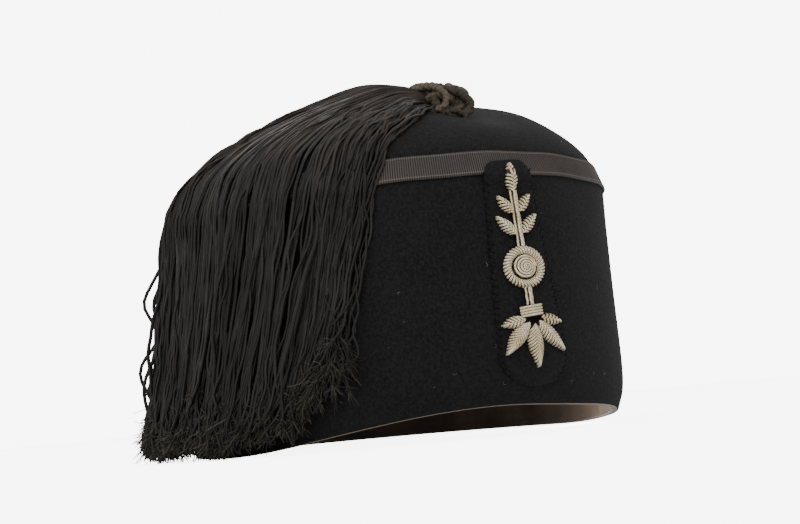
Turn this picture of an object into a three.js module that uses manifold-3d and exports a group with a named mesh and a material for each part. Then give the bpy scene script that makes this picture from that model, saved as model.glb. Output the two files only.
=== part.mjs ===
// A black felt fez with a ribbon round its shoulder, a leather sweatband, an embroidered badge and a long tassel.
// Millimetres, +Z up. The hat stands on Z = 0, its front faces -Y and the wearer's right side is -X.
import * as THREE from "three";
import { mergeVertices } from "three/addons/utils/BufferGeometryUtils.js";
import Module from "manifold-3d";

// Crown
const hatLength = 206; // outside, front to back
const hatWidth = 162; // outside, side to side
const wallHeight = 85; // rim to the ribbon's lower edge
const rimTuck = 3.4; // how far the rim turns in from the widest oval
const shoulderRise = 8.3; // height of the sloped shoulder under the ribbon
const shoulderInset = 3; // how far the shoulder leans in over that height
const domeHeight = 38.8; // above the ribbon's upper edge
const domePower = 1.47; // 2 is an ellipse, less is more pointed
const tipForward = 16; // the soft dome leans: its tip from the middle of the hat, towards the front
const tipSideways = 6; // and towards the wearer's left
const dentDepth = 6; // the felt is pulled in under the knot
const dentHalfWidth = 28;
const dentHalfLength = 52;
const dentForward = 50; // the dent's middle from the middle of the hat
const feltThickness = 2;
const seamLevel = 1.5; // the wall and the top meet behind the ribbon, half way up the shoulder
const archRise = 10; // the front of the rim stands this far above the surface
const archHalfWidth = 75; // degrees each side of the arch's middle
const archTurn = 8; // degrees, the arch's middle from the front towards the wearer's right

// Trim
const clearance = 0.3; // gap that neighbouring pieces keep
const ribbonThickness = 0.7;
const leatherThickness = 0.9;
const sweatbandHeight = 36;

// Badge
const patchThickness = 1.2;
const patchLength = 84;
const patchTopWidth = 16.5;
const patchFootWidth = 26;
const patchFootHeight = 6; // the patch's lowest point, measured up the wall
const patchLean = 3; // degrees, the foot leans towards +X
const patchOffset = 1.4; // the patch's middle, from the front centre towards +X
const padHeight = 1.7; // raised embroidery above the patch

// Tassel
const knotRadius = 13;
const knotCord = 3.6; // cord diameter in the knot
const knotSquash = 0.3; // height of the knot as a share of its width
const knotForward = 54; // the knot's middle from the middle of the hat, towards the front
const knotSideways = 0.5; // and towards the wearer's left
const collarRadius = 2.6; // the gathered roll that the threads leave
const fringeThickness = 2.8; // on the dome
const fringeHem = 6; // thickness near the cut ends
const fringeFlare = 11; // how far the hem stands off the wall at its fullest
const fringeClearOfFloor = 1.4;
const lockCount = 11;
const fanStart = 28; // degrees round from the front to the wearer's right, where the fan meets the shoulder
const fanEnd = 152;
const fanDrift = 17; // degrees that the fan's first edge turns while it hangs down the wall

const columns = 52; // facets round the oval
const degree = Math.PI / 180;
const rimHeight = leatherThickness + clearance;

// Round the wall, how much of the rim's tuck is left at each share of its height.
const wallSections = [
  { height: 0, tuck: 1 },
  { height: 0.05, tuck: 0.5 },
  { height: 0.16, tuck: 0.12 },
  { height: 0.45, tuck: 0 },
  { height: 1, tuck: 0.18 },
];

const mix = (a, b, t) => a + (b - a) * t;
const smooth = (low, high, value) => {
  const t = Math.min(1, Math.max(0, (value - low) / (high - low)));
  return t * t * (3 - 2 * t);
};

// A value read from a table whose rows are in rising order of one column.
function readTable(rows, column, at, wanted) {
  const next = Math.max(1, rows.findIndex((row) => row[column] >= at));
  const [low, high] = [rows[next - 1], rows[next]];
  return mix(low[wanted], high[wanted], (at - low[column]) / (high[column] - low[column]));
}

// The hat's outer skin as half axes, height and how far it has closed towards the dome's tip.
// Level 0 is the rim, 1 and 2 the ribbon's edges and 3 the tip.
function skinSection(level) {
  const shoulder = rimTuck * wallSections.at(-1).tuck;
  if (level <= 1) {
    const inset = rimTuck * readTable(wallSections, "height", Math.max(level, 0), "tuck");
    return { x: hatWidth / 2 - inset, y: hatLength / 2 - inset, z: wallHeight * level, closed: 0 };
  }
  const inset = shoulder + shoulderInset * Math.min(1, level - 1);
  const [x, y] = [hatWidth / 2 - inset, hatLength / 2 - inset];
  if (level <= 2) return { x, y, z: wallHeight + shoulderRise * (level - 1), closed: 0 };
  const angle = (Math.min(level, 3) - 2) * 90 * degree;
  const share = Math.cos(angle) ** (2 / domePower);
  const rise = Math.sin(angle) ** (2 / domePower);
  return { x: x * share, y: y * share, z: wallHeight + shoulderRise + domeHeight * rise, closed: 1 - share };
}

// The skin's outward direction at a level, as its shares outwards and upwards.
function skinNormal(level) {
  if (level < 1) return { out: 1, up: 0 };
  if (level >= 2.999) return { out: 0, up: 1 };
  const step = 0.01;
  const [low, high] = [skinSection(level - step), skinSection(level + step)];
  const [run, rise] = [(low.x + low.y - high.x - high.y) / 2, high.z - low.z];
  const size = Math.hypot(run, rise);
  return { out: rise / size, up: run / size };
}

// How far the rim's arch lifts the skin. Turn is in degrees from the front towards the wearer's right.
function archLift(turn, level) {
  const away = Math.abs(((((turn - archTurn) % 360) + 540) % 360) - 180);
  if (away >= archHalfWidth) return 0;
  return archRise * Math.cos((away / archHalfWidth) * 90 * degree) ** 2 * (1 - Math.min(level, 1)) ** 2;
}

// How far the dent under the knot lowers the dome at a plan position.
function dentDrop(x, y, closed) {
  const away = ((x - tipSideways) / dentHalfWidth) ** 2 + ((y + dentForward) / dentHalfLength) ** 2;
  return dentDepth * Math.max(0, 1 - away) ** 2 * smooth(0, 0.25, closed);
}

// A point on the skin, moved outwards by lift.
function skinPoint(level, turn, lift = 0) {
  const [section, normal] = [skinSection(level), skinNormal(level)];
  const [side, front] = [-Math.sin(turn * degree), -Math.cos(turn * degree)];
  const x = tipSideways * section.closed + section.x * side;
  const y = -tipForward * section.closed + section.y * front;
  const z = rimHeight + section.z + archLift(turn, level) - dentDrop(x, y, section.closed);
  return new THREE.Vector3(x, y, z).addScaledVector(new THREE.Vector3(side, front, 0), lift * normal.out).setZ(
    z + lift * normal.up,
  );
}

// The dome's level and turn under a plan position.
function domePlace(x, y) {
  const edge = skinSection(2);
  const reach = new THREE.Vector2((x - tipSideways) / edge.x, (y + tipForward) / edge.y);
  const lean = new THREE.Vector2(tipSideways / edge.x, -tipForward / edge.y);
  const [along, spare] = [reach.dot(lean), 1 - lean.lengthSq()];
  const share = Math.min(1, (along + Math.sqrt(along ** 2 + spare * reach.lengthSq())) / spare);
  reach.addScaledVector(lean, share);
  const level = 2 + Math.acos(share ** (domePower / 2)) / (90 * degree);
  return { level, turn: Math.atan2(-reach.x, -reach.y) / degree };
}

// A closed body from rows of points. A row of one point closes an end, and looped rows join the last to the first.
function bodyFromRows(rows, looped = false) {
  const points = [];
  const place = (a, b, c) => points.push(a, b, c);
  const count = looped ? rows.length : rows.length - 1;
  for (let i = 0; i < count; i++) {
    const [low, high] = [rows[i], rows[(i + 1) % rows.length]];
    const across = Math.max(low.length, high.length);
    for (let j = 0; j < across; j++) {
      const k = (j + 1) % across;
      if (low.length === 1) place(low[0], high[k], high[j]);
      else if (high.length === 1) place(low[j], low[k], high[0]);
      else {
        place(low[j], low[k], high[j]);
        place(low[k], high[k], high[j]);
      }
    }
  }
  return new THREE.BufferGeometry().setFromPoints(facingOut(points));
}

// Triangles as a flat list of corners, turned round if they face inwards.
function facingOut(points) {
  let volume = 0;
  for (let i = 0; i < points.length; i += 3) {
    volume += points[i].dot(points[i + 1].clone().cross(points[i + 2]));
  }
  if (volume > 0) return points;
  return points.map((_, i) => points[i - (i % 3) + [0, 2, 1][i % 3]]);
}

const middleOf = (row) => row.reduce((sum, p) => sum.add(p), new THREE.Vector3()).divideScalar(row.length);

// A row of points round the whole oval.
function ring(pointAt) {
  return Array.from({ length: columns }, (_, i) => pointAt((-360 * i) / columns));
}

const wasm = await Module();
wasm.setup();

function solidOf(geometry) {
  const bare = geometry.clone();
  for (const name of ["normal", "uv"]) bare.deleteAttribute(name);
  const merged = mergeVertices(bare, 1e-3);
  const vertProperties = new Float32Array(merged.attributes.position.array);
  return new wasm.Manifold(new wasm.Mesh({ numProp: 3, vertProperties, triVerts: new Uint32Array(merged.index.array) }));
}

// Joins closed geometries into one body.
function fuse(geometries) {
  const joined = geometries.map(solidOf).reduce((sum, solid) => sum.add(solid));
  const mesh = joined.getMesh();
  const geometry = new THREE.BufferGeometry();
  geometry.setAttribute("position", new THREE.BufferAttribute(new Float32Array(mesh.vertProperties), 3));
  geometry.setIndex(new THREE.BufferAttribute(new Uint32Array(mesh.triVerts), 1));
  return geometry;
}

const finishes = {
  felt: { color: 0x17171a, roughness: 0.95, metalness: 0 },
  ribbon: { color: 0x4a413b, roughness: 0.7, metalness: 0 },
  leather: { color: 0x6b5646, roughness: 0.55, metalness: 0 },
  bullion: { color: 0xc8b48c, roughness: 0.4, metalness: 0.8 },
  knot: { color: 0x4d463c, roughness: 0.8, metalness: 0 },
  thread: { color: 0x211f1e, roughness: 0.7, metalness: 0 },
};

const hat = new THREE.Group();

function addPiece(name, geometry, finish) {
  geometry.computeVertexNormals();
  const mesh = new THREE.Mesh(geometry, new THREE.MeshStandardMaterial(finishes[finish]));
  mesh.name = name;
  hat.add(mesh);
}

// The crown's felt wall, an open oval tube that ends at the seam behind the ribbon.
function crownWall() {
  const seam = seamLevel - clearance / 2 / shoulderRise;
  const outside = [seam, 1, 0.45, 0.16, 0.05, 0];
  const inside = [0, 0.05, 0.16, 0.45, 1, seam];
  return bodyFromRows(
    [
      ...outside.map((level) => ring((turn) => skinPoint(level, turn))),
      ...inside.map((level) => ring((turn) => skinPoint(level, turn, -feltThickness))),
    ],
    true,
  );
}

// The crown's felt top, a hollow dome that starts at the same seam.
function crownTop() {
  const seam = seamLevel + clearance / 2 / shoulderRise;
  const outside = [2.92, 2.82, 2.7, 2.57, 2.44, 2.3, 2.16, 2.06, 2, seam];
  const inside = [seam, 2, 2.1, 2.3, 2.5, 2.7, 2.87];
  return bodyFromRows([
    [skinPoint(3, 0)],
    ...outside.map((level) => ring((turn) => skinPoint(level, turn))),
    ...inside.map((level) => ring((turn) => skinPoint(level, turn, -feltThickness))),
    [skinPoint(3, 0, -feltThickness)],
  ]);
}

function ribbonBand() {
  const [low, high] = [clearance, clearance + ribbonThickness];
  const corners = [[2, high], [1, high], [1, low], [2, low]];
  return bodyFromRows(corners.map(([level, lift]) => ring((turn) => skinPoint(level, turn, lift))), true);
}

// The leather band inside the rim, turned out under the felt's edge, where it is the hat's foot.
function sweatband() {
  const outer = -feltThickness - clearance;
  const inner = outer - leatherThickness;
  const top = sweatbandHeight / wallHeight;
  const levels = [0.05, 0.16, top];
  const foot = (turn, lift, height) => skinPoint(0, turn, lift).add(new THREE.Vector3(0, 0, height - rimHeight));
  return bodyFromRows(
    [
      ring((turn) => foot(turn, 0, leatherThickness)),
      ring((turn) => foot(turn, 0, 0)),
      ring((turn) => foot(turn, inner, 0)),
      ...levels.map((level) => ring((turn) => skinPoint(level, turn, inner))),
      ...levels.reverse().map((level) => ring((turn) => skinPoint(level, turn, outer))),
      ring((turn) => foot(turn, outer, leatherThickness)),
    ],
    true,
  );
}

// A point on the badge: across towards +X, up from the patch's foot, and raised off what the patch lies on.
function badgePoint(across, up, raise) {
  const lean = patchLean * degree;
  const side = patchOffset + across * Math.cos(lean) - (up - patchLength / 2) * Math.sin(lean);
  const height = patchFootHeight + up * Math.cos(lean) + across * Math.sin(lean);
  const level = height <= wallHeight ? height / wallHeight : 1 + (height - wallHeight) / shoulderRise;
  const overRibbon = (clearance + ribbonThickness) * smooth(wallHeight - 5, wallHeight - 0.8, height);
  const turn = -Math.asin(side / skinSection(level).x) / degree;
  return skinPoint(level, turn, clearance + overRibbon + raise);
}

// Half the patch's width at a height: a round foot, straight sides and a top with rounded corners.
function patchHalfWidth(up) {
  const [foot, top, corner] = [patchFootWidth / 2, patchTopWidth / 2, patchTopWidth * 0.3];
  const side = mix(foot, top, Math.max(0, (up - foot) / (patchLength - foot)));
  if (up < foot) return Math.sqrt(Math.max(0, foot ** 2 - (foot - up) ** 2));
  const down = patchLength - up;
  return down < corner ? side - corner + Math.sqrt(Math.max(0, corner ** 2 - (corner - down) ** 2)) : side;
}

function badgePatch() {
  const [foot, across] = [patchFootWidth / 2, 6];
  const low = [0.03, 0.12, 0.3, 0.6].map((share) => share * foot);
  const long = Array.from({ length: 11 }, (_, i) => mix(foot, patchLength * 0.9, i / 10));
  const high = [0.935, 0.965, 0.985, 0.998].map((share) => share * patchLength);
  const spread = Array.from({ length: across + 1 }, (_, i) => (2 * i) / across - 1);
  const rows = [...low, ...long, ...high].map((up) => {
    const half = patchHalfWidth(up);
    const back = spread.map((share) => badgePoint(share * half, up, 0));
    const face = spread.map((share) => badgePoint(share * half, up, patchThickness));
    return [...face, ...back.reverse()];
  });
  return bodyFromRows([[middleOf(rows[0])], ...rows, [middleOf(rows.at(-1))]]);
}

// A raised pad on the patch, domed over an outline of [across, up] points.
function pad(outline, height = padHeight) {
  const centre = outline.reduce((sum, [x, y]) => [sum[0] + x / outline.length, sum[1] + y / outline.length], [0, 0]);
  const base = patchThickness + clearance;
  const row = (share, rise) =>
    outline.map(([x, y]) => badgePoint(mix(centre[0], x, share), mix(centre[1], y, share), base + rise * height));
  const end = (rise) => [badgePoint(centre[0], centre[1], base + rise * height)];
  return bodyFromRows([end(0), row(1, 0), row(0.97, 0.45), row(0.62, 0.9), end(1)]);
}

// An almond leaf from its stalk end, pointing at an angle from straight up towards +X.
function leafOutline(x, y, length, width, angle) {
  const sides = [0.12, 0.35, 0.62, 0.86];
  const bulge = (share) => (width / 2) * Math.sin(Math.PI * share ** 0.8);
  const left = sides.map((share) => [-bulge(share), share * length]);
  const right = [...sides].reverse().map((share) => [bulge(share), share * length]);
  const [c, s] = [Math.cos(angle * degree), Math.sin(angle * degree)];
  return [[0, 0], ...left, [0, length], ...right].reverse().map(([a, b]) => [x + a * c + b * s, y + b * c - a * s]);
}

function discOutline(x, y, radius, points, lobe = 0) {
  return Array.from({ length: points }, (_, i) => {
    const angle = (2 * Math.PI * i) / points;
    const reach = radius * (1 + (i % 2 ? lobe : -lobe));
    return [x + reach * Math.cos(angle), y + reach * Math.sin(angle)];
  });
}

// Places up the patch, as shares of its length.
const medallionUp = 0.55 * patchLength;
const medallionRadius = 0.0875 * patchLength;
const palmetteUp = 0.36 * patchLength;

// Leaves: stalk end up the patch and across it, length and width as shares of the patch, angle from straight up.
const leaves = [
  { name: "palmette_leaf_1", up: 0.32, across: -0.038, length: 0.098, width: 0.05, angle: -104 },
  { name: "palmette_leaf_2", up: 0.305, across: -0.022, length: 0.18, width: 0.062, angle: -143 },
  { name: "palmette_leaf_3", up: 0.295, across: 0, length: 0.205, width: 0.064, angle: 180 },
  { name: "palmette_leaf_4", up: 0.305, across: 0.022, length: 0.18, width: 0.062, angle: 143 },
  { name: "palmette_leaf_5", up: 0.32, across: 0.038, length: 0.098, width: 0.05, angle: 104 },
  { name: "sprig_leaf_1", up: 0.695, across: -0.016, length: 0.105, width: 0.044, angle: -42 },
  { name: "sprig_leaf_2", up: 0.695, across: 0.016, length: 0.105, width: 0.044, angle: 42 },
  { name: "sprig_leaf_3", up: 0.785, across: -0.014, length: 0.09, width: 0.04, angle: -38 },
  { name: "sprig_leaf_4", up: 0.785, across: 0.014, length: 0.09, width: 0.04, angle: 38 },
  { name: "sprig_bud", up: 0.872, across: 0, length: 0.1, width: 0.046, angle: 0 },
];

function addBadge() {
  addPiece("badge_patch", badgePatch(), "felt");
  for (const leaf of leaves) {
    const size = [leaf.across, leaf.up, leaf.length, leaf.width].map((share) => share * patchLength);
    addPiece("badge_" + leaf.name, pad(leafOutline(...size, leaf.angle)), "bullion");
  }
  const bar = (low, high, half) => [[-half, low], [half, low], [half, high], [-half, high]];
  const tie = 0.03 * patchLength;
  addPiece("badge_tie", pad(bar(palmetteUp - tie, palmetteUp + tie * 0.7, tie * 1.5)), "bullion");
  const stemLow = palmetteUp + tie * 0.7 + 2 * clearance;
  const stem = 0.009 * patchLength;
  const ropeWidth = 0.026 * patchLength;
  const ringLow = medallionUp - medallionRadius - clearance;
  addPiece("badge_lower_stem", pad(bar(stemLow, ringLow, stem)), "bullion");
  const ringHigh = medallionUp + medallionRadius + clearance;
  const budLow = leaves.at(-1).up * patchLength - clearance;
  addPiece("badge_upper_stem", pad(bar(ringHigh, budLow, stem)), "bullion");
  const rope = [[1, 0], [1, 0.5], [0.93, 0.9], [0.8, 0.9], [0.73, 0.5], [0.73, 0]];
  const base = patchThickness + clearance;
  const turns = 24;
  const rows = Array.from({ length: turns }, (_, i) => {
    const angle = (2 * Math.PI * i) / turns;
    return rope.map(([share, rise]) => {
      const reach = medallionRadius - (1 - share) * (ropeWidth / 0.27);
      const [x, y] = [reach * Math.cos(angle), medallionUp + reach * Math.sin(angle)];
      return badgePoint(x, y, base + rise * padHeight);
    });
  });
  addPiece("badge_ring", bodyFromRows(rows, true), "bullion");
  const boss = medallionRadius - ropeWidth - 2.5 * clearance;
  addPiece("badge_boss", pad(discOutline(0, medallionUp, boss, 16, 0.08), padHeight * 1.2), "bullion");
}

// The dome's surface frame under the knot.
function knotSeat() {
  const { level, turn } = domePlace(knotSideways, -knotForward);
  const foot = skinPoint(level, turn, 3 * clearance);
  const up = skinPoint(level, turn, 3 * clearance + 1).sub(foot);
  return { foot, up };
}

// A ball knot: one cord that circles the ball three times and swings five times between its ends.
function knot() {
  const { foot, up } = knotSeat();
  const [leads, bights, swing] = [3, 5, 62 * degree];
  const weave = knotCord * 0.3;
  const body = knotRadius - knotCord / 2 - weave;
  const centre = foot.clone().addScaledVector(up, body * knotSquash + knotCord / 2);
  const stand = new THREE.Quaternion().setFromUnitVectors(new THREE.Vector3(0, 0, 1), up);
  const place = (p) => p.multiply(new THREE.Vector3(1, 1, knotSquash)).applyQuaternion(stand).add(centre);
  const cordPoint = (t) => {
    const [latitude, longitude] = [swing * Math.cos(bights * t), leads * t];
    const reach = body + weave * Math.sin(2 * bights * t);
    const flat = reach * Math.cos(latitude);
    return new THREE.Vector3(flat * Math.cos(longitude), flat * Math.sin(longitude), reach * Math.sin(latitude));
  };
  const [arcs, steps, sides] = [10, 5, 6];
  const section = new THREE.Shape(
    Array.from({ length: sides }, (_, i) => {
      const angle = (2 * Math.PI * i) / sides;
      return new THREE.Vector2(Math.cos(angle), Math.sin(angle)).multiplyScalar(knotCord / 2);
    }),
  );
  const cords = Array.from({ length: arcs }, (_, arc) => {
    const overlap = 0.04;
    const points = Array.from({ length: steps + 1 }, (_, i) =>
      place(cordPoint(((arc - overlap + ((1 + 2 * overlap) * i) / steps) / arcs) * 2 * Math.PI)),
    );
    const path = new THREE.CatmullRomCurve3(points);
    return new THREE.ExtrudeGeometry(section, { steps, bevelEnabled: false, extrudePath: path });
  });
  const core = new THREE.SphereGeometry(body, 10, 6);
  const spots = core.attributes.position;
  for (let i = 0; i < spots.count; i++) {
    const p = place(new THREE.Vector3().fromBufferAttribute(spots, i));
    spots.setXYZ(i, p.x, p.y, p.z);
  }
  return fuse([core, ...cords]);
}

// Where a thread runs. Fan is 0 at its first edge and 1 at its last, along is 0 at the collar and 1 at the cut end.
const shoulderAlong = 0.48;

function fringeFlareAt(fan) {
  return fringeFlare * smooth(0, 0.45, fan) * (1 - 0.35 * smooth(0.8, 1, fan));
}

function threadPlace(fan, along) {
  const turn = mix(fanStart, fanEnd, fan);
  if (along <= shoulderAlong) {
    const start = collarPlan(fan);
    const edge = skinPoint(2, turn);
    const share = along / shoulderAlong;
    return domePlace(mix(start.x, edge.x, share), mix(start.y, edge.y, share));
  }
  const share = (along - shoulderAlong) / (1 - shoulderAlong);
  return { level: 2 - fallLevels(share), turn: turn + fanDrift * share * (1 - smooth(0, 0.6, fan)) };
}

// Levels passed while the thread falls from the ribbon's upper edge to the rim, at an even speed.
function fallLevels(share) {
  const fallen = share * (shoulderRise + wallHeight);
  return fallen < shoulderRise ? fallen / shoulderRise : 1 + (fallen - shoulderRise) / wallHeight;
}

// The collar is an arc round the knot, from its front round to its far side.
function collarPlan(fan) {
  const reach = knotRadius + collarRadius + clearance;
  const facing = mix(28, 160, fan) * degree;
  return { x: knotSideways - reach * Math.sin(facing), y: -knotForward - reach * Math.cos(facing) };
}

// Lift off the skin of the fringe's inner and outer face.
function fringeFaces(fan, along) {
  const fall = Math.max(0, (along - shoulderAlong) / (1 - shoulderAlong));
  const stand = fringeFlareAt(fan) * fall ** 2;
  const ribbonTop = clearance + ribbonThickness;
  const inner = ribbonTop + clearance + 0.7 + 0.8 * stand;
  const full = mix(fringeThickness, fringeHem, smooth(0.5, 1, along)) * mix(0.55, 1, smooth(0, 0.3, fan));
  return { inner, outer: inner + full * mix(0.9, 1, along) };
}

// How long each lock hangs: the first ones stop short of the rim.
function hemAlong(index) {
  const short = 0.15 * (1 - smooth(0, 0.24, index / (lockCount - 1)));
  const ragged = 0.01 * Math.sin(index * 2.4);
  return 1 - short - 0.012 + ragged;
}

// Stops along a lock: over the dome, at both edges of the ribbon, and down the wall to its end.
function lockStops(end) {
  const overDome = [0, 0.13, 0.27, 0.42, 0.6, 0.8, 0.93, 1].map((share) => share * shoulderAlong);
  const ribbonLow = mix(shoulderAlong, 1, shoulderRise / (shoulderRise + wallHeight));
  const downWall = [0, 0.2, 0.45, 0.7, 0.9, 1].map((share) => mix(ribbonLow, end, share));
  return [...overDome, ...downWall];
}

function lock(index) {
  const overlap = 0.16;
  const [low, high] = [(index - overlap) / lockCount, (index + 1 + overlap) / lockCount];
  const end = hemAlong(index);
  const spread = [-1, -0.6, 0, 0.6, 1];
  const rows = lockStops(end).map((along) => {
    const narrow = 1 - 0.45 * smooth(0.9, 1, along / end);
    const at = (side, shareOut) => {
      const fan = mix(low, high, 0.5 + 0.5 * side * narrow);
      const { level, turn } = threadPlace(fan, along);
      const { inner, outer } = fringeFaces(fan, along);
      const point = skinPoint(level, turn, mix(inner, outer, shareOut));
      point.z = Math.max(point.z - archLift(turn, level), fringeClearOfFloor);
      return point;
    };
    const face = spread.map((side) => at(side, 1 - 0.35 * side ** 2));
    const back = [1, 0, -1].map((side) => at(side, 0));
    return [...face.reverse(), ...back.reverse()];
  });
  return bodyFromRows([[middleOf(rows[0])], ...rows, [middleOf(rows.at(-1))]]);
}

// The rolled collar that gathers the threads beside the knot.
function collar() {
  const stops = 12;
  const rows = Array.from({ length: stops + 1 }, (_, i) => {
    const plan = collarPlan(i / stops);
    const { level, turn } = domePlace(plan.x, plan.y);
    const towards = new THREE.Vector3(plan.x - knotSideways, plan.y + knotForward, 0).normalize();
    const centre = skinPoint(level, turn, 2 * clearance + collarRadius);
    const sides = 8;
    return Array.from({ length: sides }, (_, j) => {
      const angle = (2 * Math.PI * j) / sides;
      const rise = new THREE.Vector3(0, 0, collarRadius * Math.sin(angle));
      return centre.clone().addScaledVector(towards, collarRadius * Math.cos(angle)).add(rise);
    });
  });
  return bodyFromRows([[middleOf(rows[0])], ...rows, [middleOf(rows.at(-1))]]);
}

function tasselFringe() {
  return fuse([collar(), ...Array.from({ length: lockCount }, (_, i) => lock(i))]);
}

addPiece("crown_wall", crownWall(), "felt");
addPiece("crown_top", crownTop(), "felt");
addPiece("ribbon_band", ribbonBand(), "ribbon");
addPiece("sweatband", sweatband(), "leather");
addBadge();
addPiece("tassel_knot", knot(), "knot");
addPiece("tassel_fringe", tasselFringe(), "thread");

// The origin is at the bottom centre of all that was made.
const middle = new THREE.Box3().setFromObject(hat).getCenter(new THREE.Vector3());
hat.position.set(-middle.x, -middle.y, 0);

export default hat;
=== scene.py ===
import math

import bpy
import numpy as np
from mathutils import Matrix, Vector


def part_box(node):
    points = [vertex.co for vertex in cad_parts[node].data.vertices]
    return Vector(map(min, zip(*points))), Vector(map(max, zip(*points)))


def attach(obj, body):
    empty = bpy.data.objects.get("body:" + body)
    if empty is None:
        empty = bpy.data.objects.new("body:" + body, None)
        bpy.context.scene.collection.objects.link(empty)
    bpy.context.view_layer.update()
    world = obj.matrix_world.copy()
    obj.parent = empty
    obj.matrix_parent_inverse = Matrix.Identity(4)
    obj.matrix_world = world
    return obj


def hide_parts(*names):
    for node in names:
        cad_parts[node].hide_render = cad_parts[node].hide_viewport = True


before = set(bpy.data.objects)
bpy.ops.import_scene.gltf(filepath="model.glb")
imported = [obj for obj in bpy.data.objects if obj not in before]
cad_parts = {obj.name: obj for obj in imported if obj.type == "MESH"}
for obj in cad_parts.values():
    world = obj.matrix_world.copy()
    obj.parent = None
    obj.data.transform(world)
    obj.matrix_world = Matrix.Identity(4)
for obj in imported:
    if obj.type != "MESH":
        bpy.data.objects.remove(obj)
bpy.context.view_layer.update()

# Sizes in metres. The hat's front faces -Y and the wearer's right side is -X.
CROWN_LOW, CROWN_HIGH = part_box("crown_wall")
HAT_LENGTH = 0.206
HAT_WIDTH = 0.162
MIDDLE_X = (CROWN_LOW[0] + CROWN_HIGH[0]) / 2
MIDDLE_Y = (CROWN_LOW[1] + CROWN_HIGH[1]) / 2
RIM_HEIGHT = 0.0012
WALL_HEIGHT = 0.085
RIM_TUCK = 0.0034
TUCK_FADE = 0.072  # share of the wall's height over which the rim's tuck fades
TUCK_AT_SHOULDER = 0.18
SHOULDER_RISE = 0.0083
SHOULDER_INSET = 0.003
DOME_HEIGHT = 0.0388
DOME_POWER = 1.47
TIP_FORWARD = 0.016
TIP_SIDEWAYS = 0.006
DENT_DEPTH = 0.006
DENT_HALF_WIDTH = 0.028
DENT_HALF_LENGTH = 0.052
DENT_FORWARD = 0.050
ARCH_RISE = 0.010
ARCH_HALF_WIDTH = 75  # degrees
ARCH_TURN = 8
SIDE_RISE = 0.0034  # the worn rim also curls up a little at the wearer's left
SIDE_TURN = -48
SIDE_HALF_WIDTH = 45
FELT = 0.002
CLEARANCE = 0.0003
RIBBON = 0.0007
LEATHER = 0.0009
SWEATBAND_HEIGHT = 0.036

RIB_SPACING = 0.00086  # from rib to rib of the ribbon
RIB_DEPTH = 0.00026
RIBBON_ROWS = 12  # over the ribbon's face
SELVEDGE_INSET = 0.07  # share of the ribbon's height from its edge
SELVEDGE_WIDTH = 0.05
SELVEDGE_DEPTH = 0.0001
FACE_MIDDLE = 0.389  # in the ribbon's UV map, as a share of the way round its section
SELVEDGE_REACH = 0.287  # from there to the ribbon's selvedges

PATCH = 0.0012
PATCH_LENGTH = 0.084
PATCH_TOP = 0.0165
PATCH_FOOT = 0.026
PATCH_FOOT_HEIGHT = 0.006
PATCH_LEAN = math.radians(3)
PATCH_OFFSET = 0.0014
PAD = 0.0017
PAD_FOOT = PATCH + CLEARANCE
RING_MIDDLE = 0.55 * PATCH_LENGTH
RING_RADIUS = 0.0875 * PATCH_LENGTH
RING_ROPE = 0.026 * PATCH_LENGTH / 2
TIE_MIDDLE = 0.36 * PATCH_LENGTH
TIE_HALF = 0.03 * PATCH_LENGTH
STEM_HALF = 0.009 * PATCH_LENGTH
STEM_TOP = 0.875 * PATCH_LENGTH

KNOT_RADIUS = 0.013
KNOT_CORD = 0.0036
KNOT_SQUASH = 0.3
KNOT_MIDDLE = (KNOT_RADIUS - 0.8 * KNOT_CORD) * KNOT_SQUASH + KNOT_CORD / 2  # above its foot
KNOT_FORWARD = 0.054
KNOT_SIDEWAYS = 0.0005
KNOT_SEAT = 3 * CLEARANCE
FRINGE = 0.0028
FRINGE_HEM = 0.006
FRINGE_FLARE = 0.011
COLLAR_REACH = 0.72 * KNOT_RADIUS  # from the knot's middle to the threads' start
COLLAR_START = 28  # degrees from the front to the wearer's right
COLLAR_END = 160
FAN_START = 28
FAN_END = 152
FAN_DRIFT = 17
SHOULDER_ALONG = 0.48  # share of a thread that lies on the dome
THREAD_LOWEST = 0.0009
FIBRE_LOWEST = 0.0004
THREAD_RADIUS = 0.00058
STRAY_RADIUS = 0.00046
BOWED_RADIUS = 0.00075
FRAYED_RADIUS = 0.00021
BRUSHED_RADIUS = 0.00016
LINT_RADIUS = 0.00007
THREAD_STEPS = 54
STRAY_STEPS = 58
FIBRE_STEPS = 4

random = np.random.default_rng(7)


def mix(a, b, share):
    return a + (b - a) * share


def smooth(low, high, value):
    t = np.clip((value - low) / (high - low), 0, 1)
    return t * t * (3 - 2 * t)


def section(level):
    """Half axes, height and closing of the hat's skin.

    Level 0 is the rim, 1 and 2 are the ribbon's edges and 3 is the tip.
    """
    level = np.asarray(level, float)
    wall = np.clip(level, 0, 1)
    shoulder = np.clip(level - 1, 0, 1)
    tuck = RIM_TUCK * (np.exp(-wall / TUCK_FADE) + TUCK_AT_SHOULDER * wall**2)
    inset = tuck + SHOULDER_INSET * shoulder
    angle = np.clip(level - 2, 0, 1) * np.pi / 2
    share = np.clip(np.cos(angle), 0, 1) ** (2 / DOME_POWER)
    rise = np.clip(np.sin(angle), 0, 1) ** (2 / DOME_POWER)
    height = WALL_HEIGHT * wall + SHOULDER_RISE * shoulder + DOME_HEIGHT * rise
    return (HAT_WIDTH / 2 - inset) * share, (HAT_LENGTH / 2 - inset) * share, height, 1 - share


def outward(level):
    """The skin's direction outwards and upwards."""
    level = np.asarray(level)
    step = 0.01
    low = section(level - step)
    high = section(level + step)
    run = (low[0] + low[1] - high[0] - high[1]) / 2
    rise = high[2] - low[2]
    size = np.hypot(run, rise) + 1e-12
    out = np.where(level < 1, 1, rise / size)
    up = np.where(level < 1, 0, run / size)
    at_tip = level > 2.995
    return np.where(at_tip, 0, out), np.where(at_tip, 1, up)


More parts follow.
